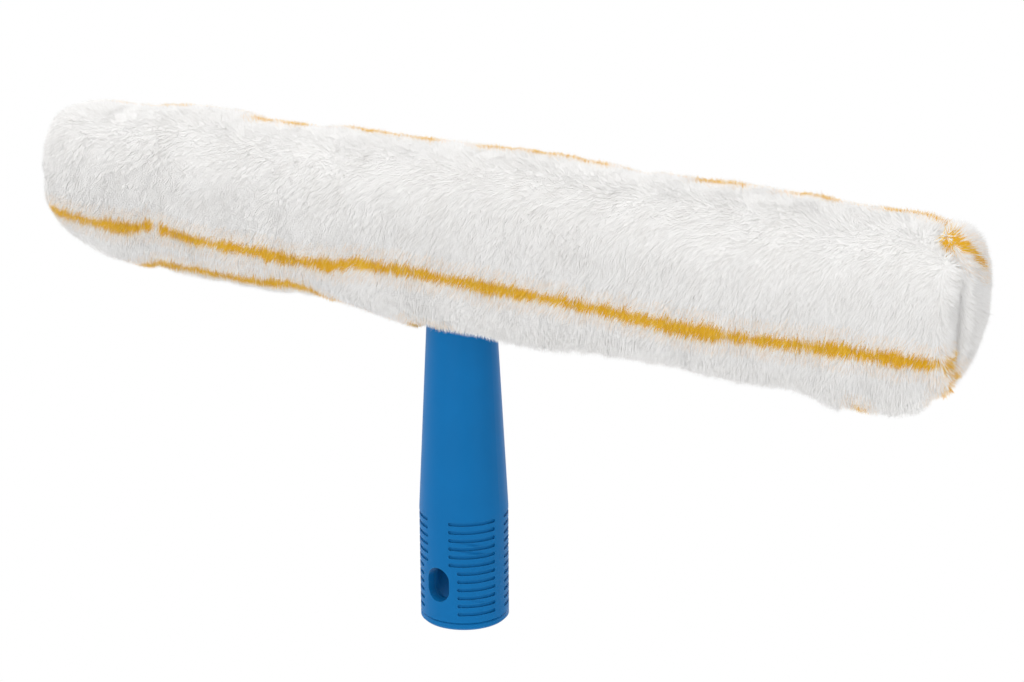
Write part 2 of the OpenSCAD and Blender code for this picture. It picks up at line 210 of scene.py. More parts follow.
def smooth_noise(points, size, seed):
    """Even noise from -1 to 1 with patches of one size, the same for the same points."""
    cells = points / size
    corner = np.floor(cells).astype(np.int64)
    part = cells - corner
    part = part * part * (3 - 2 * part)
    total = np.zeros(len(points))
    for dx in (0, 1):
        for dy in (0, 1):
            for dz in (0, 1):
                at = corner + (dx, dy, dz)
                mixed = at[:, 0] * 73856093 ^ at[:, 1] * 19349663 ^ at[:, 2] * 83492791
                mixed = (mixed ^ seed * 2654435761) & 0xFFFFFFFF
                mixed = (mixed ^ (mixed >> 15)) * 2246822519 & 0xFFFFFFFF
                mixed = (mixed ^ (mixed >> 13)) * 3266489917 & 0xFFFFFFFF
                value = ((mixed ^ (mixed >> 16)) & 0xFFFFFFFF) / 0xFFFFFFFF * 2 - 1
                weight = (
                    (part[:, 0] if dx else 1 - part[:, 0])
                    * (part[:, 1] if dy else 1 - part[:, 1])
                    * (part[:, 2] if dz else 1 - part[:, 2])
                )
                total += value * weight
    return total


def unit(vectors):
    """The same directions, each one long."""
    return vectors / np.maximum(np.linalg.norm(vectors, axis=1, keepdims=True), 1e-12)


def ease(value):
    """A smooth step from 0 to 1, for values from 0 to 1."""
    clipped = np.clip(value, 0, 1)
    return clipped * clipped * (3 - 2 * clipped)


def copy_of_node(node, name):
    """A merged copy of a CAD node's mesh, as a new object."""
    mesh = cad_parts[node].data.copy()
    mesh.materials.clear()
    piece = bpy.data.objects.new(name, mesh)
    bpy.context.scene.collection.objects.link(piece)
    shape = bmesh.new()
    shape.from_mesh(mesh)
    bmesh.ops.remove_doubles(shape, verts=shape.verts, dist=0.01 * MM)
    shape.to_mesh(mesh)
    shape.free()
    return piece


def vertex_vectors(mesh, name):
    """The places or the normals of a mesh's points, as rows of three."""
    found = np.empty(len(mesh.vertices) * 3, np.float32)
    mesh.vertices.foreach_get(name, found)
    return found.reshape(-1, 3).astype(float)


def set_places(mesh, points):
    """Moves a mesh's points to these places."""
    mesh.vertices.foreach_set("co", points.astype(np.float32).ravel())
    mesh.update()


def outer_share(points):
    """1 on the sleeve's outside, 0 in its hollow and its slit, and between them near the edges."""
    aside = np.maximum(np.abs(points[:, 1]) - CAVITY_Y, np.abs(points[:, 2] - BAR_Z) - CAVITY_Z)
    aside = np.maximum(aside, SLEEVE_LOW.x + END_CLOTH - points[:, 0])
    in_slit = np.maximum(np.abs(points[:, 1]) - SLIT_Y, SLIT_X - points[:, 0])
    in_slit = np.where(points[:, 2] < BAR_Z, in_slit, 1.0)
    return ease((aside - BARE_EDGE) / EDGE_BAND) * ease(in_slit / EDGE_BAND)


def flap_share(points):
    """1 on the flap's dome, 0 on the flat faces that meet the bar's end and the lip."""
    aside = np.minimum(points[:, 0] - FLAP_LOW.x, points[:, 1] - FLAP_LOW.y)
    return ease(aside / FLAP_BAND)


# How far the pile stands out beyond the plain form, along its top and along its underside, in mm
TOP_WAVES = ((-104, 0), (-92, -1.7), (-66, -1.7), (-54, 0), (55, -0.5), (66, -1.2), (78, -0.4),
             (104, -0.8), (122, -1.7), (132, -0.8), (146, -1.3), (158, 0), (172, 1.0))
LOW_WAVES = ((-140, 0), (-133, -1.6), (-122, 0), (-76, 0), (-66, -1.0), (-45, -1.1), (-30, 0),
             (-12, 0.7), (20, 1.0), (36, 1.9), (50, 1.3), (62, 0.3), (94, 0), (104, 0.7),
             (115, 1.0), (130, -0.4), (142, 0), (149, 1.6), (155, 0.5), (172, 0.7))


def swell(points):
    """How far the plush bulges out or draws in at each place, slowly along the bar."""
    slow = smooth_noise(points, 34 * MM, 3) * 0.35 + smooth_noise(points, 15 * MM, 5) * 0.25
    up = (points[:, 2] - BAR_Z) / SECTION_Z
    for waves, share in ((TOP_WAVES, up), (LOW_WAVES, -up)):
        x, out = np.array(waves).T
        slow += np.interp(points[:, 0] / MM, x, out) * ease((share - 0.35) / 0.5)
    return slow * MM


def around(points):
    """Distance round the sleeve's section from the middle of its underside, front side positive."""
    turns = np.linspace(0, 2 * math.pi, 721)
    c = np.sign(np.sin(turns)) * np.abs(np.sin(turns)) ** (2 / SQUARENESS) * SECTION_Y
    s = -np.sign(np.cos(turns)) * np.abs(np.cos(turns)) ** (2 / SQUARENESS) * SECTION_Z
    steps = np.concatenate([[0], np.cumsum(np.hypot(np.diff(c), np.diff(s)))])
    across = -points[:, 1] / SECTION_Y
    up = (points[:, 2] - BAR_Z) / SECTION_Z
    reach = np.maximum(np.abs(across) ** SQUARENESS + np.abs(up) ** SQUARENESS, 1e-9)
    across = np.sign(across) * np.abs(across / reach ** (1 / SQUARENESS)) ** (SQUARENESS / 2)
    up = np.sign(up) * np.abs(up / reach ** (1 / SQUARENESS)) ** (SQUARENESS / 2)
    turn = np.arctan2(across, -up) % (2 * math.pi)
    return np.interp(turn, turns, steps)


def cloth_body(node, name, voxel, share, lined):
    """A smooth cloth body in a CAD soft solid's place, whose outside is drawn in to the roots."""
    plush = bpy.context.scene.scrubber_plush
    piece = copy_of_node(node, name)
    apply_modifier(piece, "REMESH", mode="VOXEL", voxel_size=voxel, adaptivity=0.0)
    apply_modifier(piece, "SMOOTH", factor=0.5, iterations=4)
    points = vertex_vectors(piece.data, "co")
    amount = share(points)
    move = amount * (swell(points) - plush.root_depth + SOFT_GAP)
    set_places(piece.data, points + vertex_vectors(piece.data, "normal") * move[:, None])
    piece.data.materials.append(ground_material(f"{name}_ground", plush.ground))
    piece.data.materials.append(knit_material(f"{name}_{lined}", plush.lining))
    corners = [list(face.vertices) for face in piece.data.polygons]
    for face, bare in zip(piece.data.polygons, (amount[c].mean() < 0.5 for c in corners)):
        face.use_smooth = True
        face.material_index = int(bare)
    return piece


def scatter(mesh, keep, density, draws):
    """Points spread evenly over the kept faces, with the surface's direction there."""
    mesh.calc_loop_triangles()
    corners = np.empty(len(mesh.loop_triangles) * 3, np.int32)
    mesh.loop_triangles.foreach_get("vertices", corners)
    corners = corners.reshape(-1, 3)
    points, outward = vertex_vectors(mesh, "co"), vertex_vectors(mesh, "normal")
    middle, facing = points[corners].mean(1), unit(outward[corners].mean(1))
    corners = corners[keep(middle, facing)]
    a, b, c = (points[corners[:, i]] for i in range(3))
    area = np.linalg.norm(np.cross(b - a, c - a), axis=1) / 2
    count = int(area.sum() / MM**2 * density)
    reach = np.cumsum(area)
    chosen = np.searchsorted(reach, draws.random(count) * reach[-1])
    u, v = draws.random(count), draws.random(count)
    over = u + v > 1
    u[over], v[over] = 1 - u[over], 1 - v[over]
    weight = np.stack([1 - u - v, u, v], 1)[:, :, None]
    found = corners[chosen]
    return (points[found] * weight).sum(1), unit((outward[found] * weight).sum(1))


# The way the pile is combed, on the whole and with what the top and the open end add to it
COMBED = (-0.12, 0.45, -1.0)
COMBED_TOP = -0.5
COMBED_END = 0.9
# How much the combing, the slow swirls, the tufts and chance each turn a strand
COMB_SHARE = 0.9
SWIRL_SHARE = 0.3
TUFT_SHARE = 0.28
CHANCE_SHARE = 0.22
# The least and the most that a strand may lean over, in radians
LEAST_LEAN = 0.3
MOST_LEAN = 1.3


def comb(roots, outward, draws):
    """Grows a strand from each root: its tip, half its width and its thickness as vectors,
    and the direction in which it is shaded."""
    plush = bpy.context.scene.scrubber_plush
    count = len(roots)
    flow = np.tile(COMBED, (count, 1))
    flow[:, 0] += COMBED_TOP * ease(outward[:, 2] / 0.6)
    flow[:, 1] += COMBED_END * ease(outward[:, 0] / 0.8)
    swirl = np.stack([smooth_noise(roots, 9 * MM, 11 + i) for i in range(3)], 1)
    tuft = np.stack([smooth_noise(roots, 2.6 * MM, 21 + i) for i in range(3)], 1)
    along = flow * COMB_SHARE + swirl * SWIRL_SHARE + tuft * TUFT_SHARE
    along += draws.normal(0, CHANCE_SHARE, (count, 3))
    along -= outward * (along * outward).sum(1, keepdims=True)
    lean = plush.lean * (1 + 0.18 * smooth_noise(roots, 4 * MM, 31)) + draws.normal(0, 0.14, count)
    lean = np.clip(lean, LEAST_LEAN, MOST_LEAN)[:, None]
    along = unit(along)
    reach = plush.strand_length * (
        1 + 0.05 * smooth_noise(roots, 5 * MM, 41) + 0.05 * smooth_noise(roots, 1.8 * MM, 43)
        + draws.normal(0, 0.06, count))
    tips = roots + (outward * np.cos(lean) + along * np.sin(lean)) * reach[:, None]
    across = unit(np.cross(along, outward))
    over = unit(outward * np.sin(lean) - along * np.cos(lean))
    twist = draws.normal(0, 0.35, count)[:, None]
    sides = across * np.cos(twist) + over * np.sin(twist)
    flat = unit(np.cross(sides, tips - roots))
    turned = (flat * outward).sum(1) < 0
    sides[turned] *= -1
    flat[turned] *= -1
    even = plush.evenness
    shading = unit(outward * even + flat * (1 - even) + draws.normal(0, 0.06, (count, 3)))
    width = plush.strand_width * (1 + draws.normal(0, 0.15, count))
    return tips, sides * (width / 2)[:, None], flat * plush.strand_thickness, shading


def strands(name, roots, tips, sides, backs, shading, slots, materials):
    """One mesh of thin strands, each a wedge with an outer and an inner face up to its tip."""
    count = len(roots)
    corners = (roots - sides, roots + sides, tips, roots - sides - backs, roots + sides - backs)
    points = np.stack(corners, 1).reshape(-1, 3)
    first = np.arange(count)[:, None] * len(corners)
    faces = np.concatenate([first + (0, 1, 2), first + (4, 3, 2)], 1).reshape(-1)
    mesh = bpy.data.meshes.new(name)
    mesh.vertices.add(len(points))
    mesh.vertices.foreach_set("co", points.astype(np.float32).ravel())
    mesh.loops.add(len(faces))
    mesh.loops.foreach_set("vertex_index", faces.astype(np.int32))
    mesh.polygons.add(count * 2)
    mesh.polygons.foreach_set("loop_start", np.arange(0, len(faces), 3, dtype=np.int32))
    mesh.polygons.foreach_set("material_index", np.repeat(slots, 2).astype(np.int32))
    mesh.polygons.foreach_set("use_smooth", np.ones(count * 2, bool))
    for material in materials:
        mesh.materials.append(material)
    mesh.update(calc_edges=True)
    directions = mesh.attributes.new("custom_normal", "FLOAT_VECTOR", "POINT")
    spread = np.repeat(shading, len(corners), axis=0)
    directions.data.foreach_set("vector", spread.astype(np.float32).ravel())
    piece = bpy.data.objects.new(name, mesh)
    bpy.context.scene.collection.objects.link(piece)
    return piece


def line_distance(flat, lines):
    """Distance in millimetres from each flat point to the nearest of some bent lines."""
    best = np.full(len(flat), 99.0)
    for line in lines:
        for start, end in zip(line, line[1:]):
            start, step = np.array(start), np.array(end) - np.array(start)
            share = np.clip(((flat - start) @ step) / (step @ step), 0, 1)
            best = np.minimum(best, np.linalg.norm(flat - start - share[:, None] * step, axis=1))
    return best


# The stripes on the sleeve, as distance along the bar and distance round the section, in mm
FRONT_STRIPE = (
    ((-179, 33.4), (-157, 32.3), (-137, 32.6), (-126, 35.0)),
    ((-120, 34.2), (-104, 32.2), (-60, 31.0), (-39, 32.0), (-28, 34.9), (-8, 35.7), (43, 34.2),
     (98, 32.4), (158, 35.2), (182, 33.9)),
    ((186, 33.0), (187, 26.6), (186.5, 21), (184, 17.5)),
)
LOW_STRIPE = (
    ((-179, 5.0), (-150, 6.0), (-127, 16.5), (-122, 18.2), (-83, 17.4), (-58, 18.0), (-51, 13.0),
     (-44, 6.0), (-14, 6.0), (-11.5, 12.8), (6, 12.2), (10, 6.0), (152, 5.0)),
    ((158, 5.0), (180, 5.0)),
)
TOP_STRIPE = (
    ((-150, 96.0), (-127, 92.5)),
    ((-91, 88.5), (-73, 90.0)),
    ((-53, 93.5), (-30, 92.0), (-12, 90.5)),
    ((8, 90.5), (30, 91.5), (54, 91.0)),
    ((94, 90.0), (106, 89.5)),
    ((124, 91.0), (137, 93.5)),
    ((158, 90.0), (166, 91.0)),
)
# Where a stripe thins out: beside the lip's low corner and on the sleeve's last bend
THIN_STRIPES = (
    ((157.5, 15.4), (159, 15.2)),
    ((166, 91.0), (170, 88.5), (173, 86.5), (177, 87.0)),
)
BACK_STRIPE = (((-179, 140.0), (-60, 143.0), (40, 139.5), (177, 141.0)),)
TOP_REST = (((-179, 97.0), (-60, 99.0), (60, 97.5), (176, 98.0)),)
# The stripes on the flap, as places across and up, in mm
FLAP_STRIPES = (
    ((-7.5, 161.8), (-6.5, 160.2), (-3.8, 157.2), (1.2, 153.7)),
    ((-8.3, 124.0), (-2.5, 121.5), (-8.3, 118.0)),
    ((16.0, 146.0), (17.5, 134.0)),
)
THINNER = 0.8
# How many of the pile's materials are white, and the most strands that one piece may hold
WHITE = 4
MOST_STRANDS = 95_000
# The peach strands beside a stripe: how far from its edge, in mm, and how many among the white
PEACH_REACH = 4.5
PEACH_SHARE = 0.42


def sleeve_stripes(points):
    """Distance in millimetres from each place on the sleeve to the middle of the nearest stripe."""
    plush = bpy.context.scene.scrubber_plush
    flat = np.stack([points[:, 0], around(points)], 1) / MM
    front = flat[:, 1] < 87
    flat[:, 1] -= np.where(front, 1, -1) * plush.stripe_lift / MM
    full = line_distance(flat, FRONT_STRIPE + LOW_STRIPE + TOP_STRIPE + BACK_STRIPE + TOP_REST)
    return np.minimum(full, line_distance(flat, THIN_STRIPES) + THINNER)


def flap_stripes(points):
    """Distance in millimetres from each place on the flap to the middle of the nearest stripe."""
    return line_distance(points[:, 1:] / MM, FLAP_STRIPES) + THINNER


def strand_material(name, colour):
    """A plain material: a single strand is far thinner than any pattern on it."""
    material, _, shader = blank_material(name, 0.9, 0.15)
    shader.inputs["Base Color"].default_value = (*colour, 1)
    shader.inputs["Sheen Weight"].default_value = 0.15
    shader.inputs["Sheen Roughness"].default_value = 0.5
    return material


def pile_materials():
    """The four white strands' materials and then the three golden ones, made once."""
    plush = bpy.context.scene.scrubber_plush
    found = []
    for kind in ("bright", "plain", "shaded", "peach", "gold", "amber", "straw"):
        name = f"{kind}_strand"
        ready = bpy.data.materials.get(name)
        found.append(ready or strand_material(name, getattr(plush, kind)))
    return found


def grow_pile(body, keep, label, stripe_distance, rides_on, clear):
    """Covers part of a cloth body with strands, as white pieces and one piece of stripes."""
    plush = bpy.context.scene.scrubber_plush
    draws = np.random.default_rng(plush.seed)
    density = plush.density * 1
    roots, outward = scatter(body.data, keep, density, draws)
    grown = (roots, *comb(roots, outward, draws))
    good = clear(grown[1])
    grown = [part[good] for part in grown]
    roots = grown[0]
    count = len(roots)
    away = stripe_distance(roots)
    along = np.stack([roots[:, 0], np.zeros(count), np.zeros(count)], 1)
    edge = plush.stripe_width / MM / 2 * (
        1 + 0.25 * smooth_noise(along, 9 * MM, 61) + 0.3 * smooth_noise(along, 1.6 * MM, 63)
        + draws.normal(0, 0.25, count))
    golden = away < edge
    beside = (away < edge + PEACH_REACH) & (draws.random(count) < PEACH_SHARE) & ~golden
    # White strands take the bright, plain and shaded tints by noise: patches and vertical streaks
    # of painted light and painted shade
    streak = smooth_noise(roots * (1, 1, 0.22), 0.9 * MM, 55)
    mottle = smooth_noise(roots, 7 * MM, 51) * 0.35 + streak * 0.4 + draws.normal(0, 0.4, count)
    slots = np.where(mottle > 0.1, 0, np.where(mottle > -0.55, 1, 2))
    slots = np.where(beside, 3, slots)
    tone = draws.random(count) + 0.3 * streak
    slots = np.where(golden, np.where(tone < 0.22, 5, np.where(tone > 0.82, 6, 4)), slots)
    materials = pile_materials()
    pieces = []
    white = np.flatnonzero(~golden)
    white = white[np.argsort(roots[white, 0])]
    pieces_needed = max(1, math.ceil(len(white) / MOST_STRANDS))
    for i, part in enumerate(np.array_split(white, pieces_needed)):
        piece = strands(f"{label}_pile_{i + 1}", *(v[part] for v in grown), slots[part],
                        materials[:WHITE])
        pieces.append(piece)
    part = np.flatnonzero(golden)
    pieces.append(strands(f"{label}_stripes", *(v[part] for v in grown), slots[part] - WHITE,
                          materials[WHITE:]))
    for piece in pieces:
        piece.visible_shadow = False
        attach(piece, rides_on)
    return pieces


def sleeve_grows(middle, facing):
    """Where the sleeve carries pile: outside, and round the lip's edge up to its strip."""
    past_lip = middle[:, 1] - LIP_Y
    outside = outer_share(middle) > 0.45
    mouth = (facing[:, 0] > 0.75) & (np.abs(middle[:, 0] - MOUTH_X) < 3.5 * MM)
    at_lip = (middle[:, 0] > MOUTH_X - 2 * MM) & (past_lip < 4 * MM)
    inside = (facing[:, 1] > 0.3) & at_lip & behind_strip(middle)
    rim = (middle[:, 0] > STRIP_HIGH.x) & (past_lip < 1 * MM)
    return (outside & ~mouth & ~inside) | rim


def behind_strip(points):
    """Whether each place is at the height of the closure's strips."""
    return np.abs(points[:, 2] - BAR_Z) < (STRIP_HIGH.z - STRIP_LOW.z) / 2 + 1 * MM


def flap_grows(middle, facing):
    """Where the flap carries pile: on its dome, and round its front edge up to the strip."""
    past_strip = (middle[:, 0] > STRIP_HIGH.x) | ~behind_strip(middle)
    flat = (facing[:, 1] < -0.6) & (middle[:, 1] < FLAP_LOW.y + FLAP_BAND) & ~past_strip
    inner = (facing[:, 0] < -0.6) & (middle[:, 0] < FLAP_LOW.x + FLAP_BAND)
    return ~flat & ~inner


class SCRUBBER_OT_sleeve(bpy.types.Operator):
    """Model the plush sleeve's cloth body and grow its pile"""

    bl_idname = "scrubber.sleeve"
    bl_label = "Plush Sleeve"

    def execute(self, context):
        voxel = context.scene.scrubber_plush.voxel
        body = cloth_body("sleeve_plush", "sleeve_cloth", voxel, outer_share, "lining")
        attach(body, "sleeve")
        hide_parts("sleeve_plush")

        def clear(tips):
            """Which tips stay out of the slit, off the closure's strip and off the grip."""
            in_slit = (np.abs(tips[:, 1]) < SLIT_Y + 0.2 * MM) & (tips[:, 2] < BAR_Z)
            in_slit &= tips[:, 0] > SLIT_X - 0.5 * MM
            at_strip = (tips[:, 1] > LIP_Y) & (tips[:, 0] > MOUTH_X) & (tips[:, 0] < STRIP_HIGH.x)
            on_grip = (tips[:, 0] > -GRIP_TOP) & (np.abs(tips[:, 1]) < GRIP_TOP)
            on_grip &= tips[:, 2] < GRIP_HIGH.z + 0.1 * MM
            return ~in_slit & ~(at_strip & behind_strip(tips)) & ~on_grip

        grow_pile(body, sleeve_grows, "sleeve", sleeve_stripes, "sleeve", clear)
        return {"FINISHED"}


class SCRUBBER_OT_flap(bpy.types.Operator):
    """Model the end flap's cloth body and grow its pile"""

    bl_idname = "scrubber.flap"
    bl_label = "End Flap"

    def execute(self, context):
        voxel = context.scene.scrubber_plush.flap_voxel
        body = cloth_body("end_flap", "flap_cloth", voxel, flap_share, "lining")
        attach(body, "flap")
        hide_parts("end_flap")

        def clear(tips):
            """Which tips stay off the sleeve's mouth and off the closure's strip."""
            at_strip = (tips[:, 1] < FLAP_LOW.y) & (tips[:, 0] < STRIP_HIGH.x)
            return (tips[:, 0] > FLAP_LOW.x) & ~(at_strip & behind_strip(tips))

        grow_pile(body, flap_grows, "flap", flap_stripes, "flap", clear)
        return {"FINISHED"}


# The hinge's cloth: its height, its width, its thickness, and how deep it lies below the pile
HINGE_HEIGHT = 26 * MM
HINGE_REACH = 6.4 * MM
HINGE_CLOTH = 0.9 * MM
HINGE_DEPTH = 2.6 * MM


class SCRUBBER_OT_hinge(bpy.types.Operator):
    """Model the strip of cloth that joins the flap to the sleeve's back edge"""

    bl_idname = "scrubber.hinge"
    bl_label = "Flap Hinge"

    def execute(self, context):
        deselect()
        bpy.ops.mesh.primitive_grid_add(
            x_subdivisions=12, y_subdivisions=14, size=1,
            location=(MOUTH_X, SLEEVE_HIGH.y, BAR_Z), rotation=(math.pi / 2, 0, 0))
        piece = context.active_object
        piece.name = "hinge_cloth"
        piece.scale = (HINGE_REACH, HINGE_HEIGHT, 1)
        bpy.ops.object.transform_apply(location=True, rotation=True, scale=True)
        points = vertex_vectors(piece.data, "co")
        rise = (points[:, 2] - BAR_Z) / SECTION_Z
        back = sleeve_back(MOUTH_X)
        points[:, 1] = back * np.sqrt(1 - rise**2) - HINGE_DEPTH
        set_places(piece.data, points)
        apply_modifier(piece, "SOLIDIFY", thickness=HINGE_CLOTH, offset=0)
        apply_modifier(piece, "SUBSURF", levels=1, render_levels=1)
        make_active(piece)
        bpy.ops.object.shade_smooth()
        piece.data.materials.append(
            knit_material("hinge_knit", context.scene.scrubber_plush.lining))
        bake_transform(piece)
        return {"FINISHED"}


def sleeve_back(x):
    """How far back the sleeve's solid reaches near one place along the bar."""
    points = vertex_vectors(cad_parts["sleeve_plush"].data, "co")
    near = np.abs(points[:, 0] - x) < 4 * MM
    return points[near, 1].max()


def new_group(name, inputs, outputs):
    """An empty shader node group with these sockets, and its own input and output sockets."""
    group = bpy.data.node_groups.new(name, "ShaderNodeTree")
    for label, kind, value in inputs:
        socket = group.interface.new_socket(label, in_out="INPUT", socket_type=kind)
        socket.default_value = value
    for label, kind in outputs:
        group.interface.new_socket(label, in_out="OUTPUT", socket_type=kind)
    start = group.nodes.new("NodeGroupInput")
    end = group.nodes.new("NodeGroupOutput")
    return group, start.outputs, end.inputs


def add_node(tree, kind, values=(), **settings):
    """A node with its settings, and values or links for its inputs by name or number."""
    node = tree.nodes.new(kind)
    for name, value in settings.items():
        setattr(node, name, value)
    for key, value in dict(values).items():
        if isinstance(value, bpy.types.NodeSocket):
            tree.links.new(value, node.inputs[key])
        else:
            node.inputs[key].default_value = value
    return node


def fine_grain_group():
    """Moulded or brushed grain: a height for a bump, and a slow change of gloss and tone."""
    group, given, out = new_group(
        "fine_grain",
        (("Size", "NodeSocketFloat", 0.3 * MM), ("Patch", "NodeSocketFloat", 14 * MM)),
        (("Height", "NodeSocketFloat"), ("Tone", "NodeSocketFloat")))
    place = add_node(group, "ShaderNodeTexCoord").outputs["Object"]
    near = add_node(group, "ShaderNodeMath", {0: 1.0, 1: given["Size"]}, operation="DIVIDE")
    far = add_node(group, "ShaderNodeMath", {0: 1.0, 1: given["Patch"]}, operation="DIVIDE")
    fine = add_node(group, "ShaderNodeTexNoise",
                    {"Vector": place, "Scale": near.outputs[0], "Detail": 2.0})
    slow = add_node(group, "ShaderNodeTexNoise",
                    {"Vector": place, "Scale": far.outputs[0], "Detail": 3.0})
    group.links.new(fine.outputs["Fac"], out["Height"])
    group.links.new(slow.outputs["Fac"], out["Tone"])
    return group


def edge_wear_group():
    """A mask that is 1 where an edge is rubbed and 0 on the flat, broken up by noise."""
    group, given, out = new_group(
        "edge_wear",
        (("Patch", "NodeSocketFloat", 5 * MM), ("Strength", "NodeSocketFloat", 3.0)),
        (("Mask", "NodeSocketFloat"),))
    radius = bpy.context.scene.scrubber_plastic.rub
    soft = add_node(group, "ShaderNodeBevel", {"Radius": radius}, samples=6).outputs[0]
    true = add_node(group, "ShaderNodeNewGeometry").outputs["Normal"]
    match = add_node(group, "ShaderNodeVectorMath", {0: soft, 1: true}, operation="DOT_PRODUCT")
    turn = add_node(group, "ShaderNodeMath", {0: 1.0, 1: match.outputs["Value"]},
                    operation="SUBTRACT")
    place = add_node(group, "ShaderNodeTexCoord").outputs["Object"]
    scale = add_node(group, "ShaderNodeMath", {0: 1.0, 1: given["Patch"]}, operation="DIVIDE")
    noise = add_node(group, "ShaderNodeTexNoise",
                     {"Vector": place, "Scale": scale.outputs[0], "Detail": 4.0})
    patchy = add_node(group, "ShaderNodeMath", {0: turn.outputs[0], 1: noise.outputs["Fac"]},
                      operation="MULTIPLY")
    strong = add_node(group, "ShaderNodeMath", {0: patchy.outputs[0], 1: given["Strength"]},
                      operation="MULTIPLY", use_clamp=True)
    group.links.new(strong.outputs[0], out["Mask"])
    return group


def weave_group():
    """Over-and-under threads on all faces of a tape, as a height that also serves as a mask of
    their tops, from which the cloth's materials paint shade between the threads.
    """
    group, given, out = new_group(
        "weave",
        (("Pitch", "NodeSocketFloat", 0.6 * MM), ("Fuzz", "NodeSocketFloat", 0.3)),
        (("Height", "NodeSocketFloat"),))
    place = add_node(group, "ShaderNodeTexCoord").outputs["Object"]
    parts = add_node(group, "ShaderNodeSeparateXYZ", {0: place}).outputs
    rate = add_node(group, "ShaderNodeMath", {0: math.pi, 1: given["Pitch"]}, operation="DIVIDE")

    def wave(coordinate):
        turn = add_node(group, "ShaderNodeMath", {0: coordinate, 1: rate.outputs[0]},
                        operation="MULTIPLY")
        return add_node(group, "ShaderNodeMath", {0: turn.outputs[0]}, operation="SINE").outputs[0]

    across = add_node(group, "ShaderNodeMath", {0: parts["Y"], 1: parts["Z"]}, operation="ADD")
    both = add_node(group, "ShaderNodeMath", {0: wave(parts["X"]), 1: wave(across.outputs[0])},
                    operation="MULTIPLY")
    scale = add_node(group, "ShaderNodeMath", {0: 2.0, 1: given["Pitch"]}, operation="DIVIDE")
    noise = add_node(group, "ShaderNodeTexNoise",
                     {"Vector": place, "Scale": scale.outputs[0], "Detail": 3.0})
    fuzz = add_node(group, "ShaderNodeMath", {0: noise.outputs["Fac"], 1: given["Fuzz"]},
                    operation="MULTIPLY")
    half = add_node(group, "ShaderNodeMath", {0: both.outputs[0], 1: 0.5, 2: 0.5},
                    operation="MULTIPLY_ADD")
    height = add_node(group, "ShaderNodeMath", {0: half.outputs[0], 1: fuzz.outputs[0]},
                      operation="ADD")
    group.links.new(height.outputs[0], out["Height"])
    return group


def group_node(tree, maker, values):
    """Places a shared effect in a material, and makes the effect the first time."""
    name = maker.__name__.removesuffix("_group")
    group = bpy.data.node_groups.get(name) or maker()
    return add_node(tree, "ShaderNodeGroup", values, node_tree=group)


def blank_material(name, roughness, specular=0.5):
    """A new material with its nodes and its shader, for a finish to be built in."""
    material = bpy.data.materials.new(name)
    material.use_nodes = True
    shader = material.node_tree.nodes["Principled BSDF"]
    shader.inputs["Roughness"].default_value = roughness
    shader.inputs["Specular IOR Level"].default_value = specular
    return material, material.node_tree, shader


def mixed(tree, share, first, second):
    """The colour between two others at a share that changes over the surface."""
    return add_node(tree, "ShaderNodeMix", {0: share, 6: first, 7: second},
                    data_type="RGBA").outputs[2]


def bump(tree, shader, height, distance, strength):
    """Lets a height shape the shader's surface."""
    node = add_node(tree, "ShaderNodeBump",
                    {"Height": height, "Distance": distance, "Strength": strength})
    tree.links.new(node.outputs[0], shader.inputs["Normal"])


def tint(colour, factor):
    """A colour made darker or brighter by one factor, with its alpha."""
    return (*(min(1.0, part * factor) for part in colour), 1)


def plastic_material():
    """Moulded satin plastic: fine grain, slow changes of tone and gloss, and rubbed edges."""
    values = bpy.context.scene.scrubber_plastic
    material, tree, shader = blank_material("moulded_blue", values.roughness, 0.08)
    grain = group_node(tree, fine_grain_group, {"Size": values.grain, "Patch": 16 * MM})
    wear = group_node(tree, edge_wear_group, {"Patch": 4 * MM, "Strength": 3.2})
    body = mixed(tree, grain.outputs["Tone"], tint(values.blue, 0.93), tint(values.blue, 1.07))
    worn = mixed(tree, wear.outputs["Mask"], body, tint(values.worn, 1))
    tree.links.new(worn, shader.inputs["Base Color"])
    gloss = add_node(tree, "ShaderNodeMapRange",
                     {"Value": grain.outputs["Tone"], "From Min": 0.3, "From Max": 0.7,
                      "To Min": values.roughness - 0.05, "To Max": values.roughness + 0.07})
    tree.links.new(gloss.outputs[0], shader.inputs["Roughness"])
    bump(tree, shader, grain.outputs["Height"], 0.02 * MM, 0.6)
    return material


def steel_material():
    """Turned steel: a very fine grain, slow changes of tone and bright rubbed edges."""
    values = bpy.context.scene.scrubber_trim
    material, tree, shader = blank_material("turned_steel", 0.35)
    shader.inputs["Metallic"].default_value = 1
    grain = group_node(tree, fine_grain_group, {"Size": 0.15 * MM, "Patch": 3 * MM})
    wear = group_node(tree, edge_wear_group, {"Patch": 2 * MM, "Strength": 2.0})
    body = mixed(tree, grain.outputs["Tone"], tint(values.steel, 0.85), tint(values.steel, 1.1))
    tree.links.new(mixed(tree, wear.outputs["Mask"], body, tint(values.steel, 1.3)),
                   shader.inputs["Base Color"])
    bump(tree, shader, grain.outputs["Height"], 0.01 * MM, 0.5)
    return material


def woven_material(name, colour, pitch, depth, fuzz=0.3):
    """Woven or looped cloth, with painted shade between its threads and a little painted light on
    their tops.
    """
    material, tree, shader = blank_material(name, 0.9, 0.2)
    shader.inputs["Sheen Weight"].default_value = 0.2
    weave = group_node(tree, weave_group, {"Pitch": pitch, "Fuzz": fuzz})
    # Colour follows the weave's height: painted shade in the hollows between threads, painted light
    # on the thread tops
    tree.links.new(mixed(tree, weave.outputs["Height"], tint(colour, 0.72), tint(colour, 1.08)),
                   shader.inputs["Base Color"])
    bump(tree, shader, weave.outputs["Height"], depth, 0.8)
    return material


def knit_material(name, colour):
    """The knitted inside of the plush cloth."""
    return woven_material(name, colour, 1.1 * MM, 0.25 * MM, 0.6)


